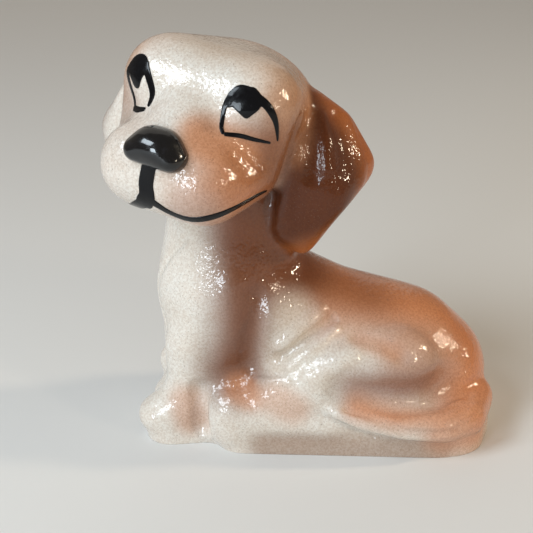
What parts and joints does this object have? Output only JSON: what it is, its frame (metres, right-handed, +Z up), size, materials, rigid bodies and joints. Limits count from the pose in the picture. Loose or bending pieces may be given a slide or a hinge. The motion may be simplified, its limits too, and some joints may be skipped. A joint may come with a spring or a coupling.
{
  "type": "ceramic dog figurine",
  "caption": "Small glazed ceramic puppy sitting on a low flat base, head turned aside, long drooping ears and a tail curled round its side.",
  "frame": {"origin": "on the flat underside of the base, below the middle of the figure", "axes": "+Z up; the body faces -Y and its back is towards +Y; the dog's left side is +X, the way its head is turned"},
  "size_m": [0.0549, 0.0822, 0.0872],
  "materials": {
    "body_glaze": "clear high-gloss glaze over cream earthenware with airbrushed tan and brown, fine dark specks",
    "ear_glaze": "clear high-gloss glaze over airbrushed brown",
    "black_enamel": "hand-brushed glossy black overglaze enamel"
  },
  "bodies": {
    "root": {"torso": "body_glaze", "base": "body_glaze", "front_leg_left": "body_glaze", "front_leg_right": "body_glaze", "hind_leg_left": "body_glaze", "hind_leg_right": "body_glaze", "tail": "body_glaze", "head": "body_glaze", "ear_left": "ear_glaze", "ear_right": "ear_glaze", "nose": "black_enamel", "eye_left": "black_enamel", "eye_right": "black_enamel", "lower_lid_left": "black_enamel", "lower_lid_right": "black_enamel", "philtrum": "black_enamel", "mouth_left": "black_enamel", "mouth_right": "black_enamel"}
  },
  "joints": []
}
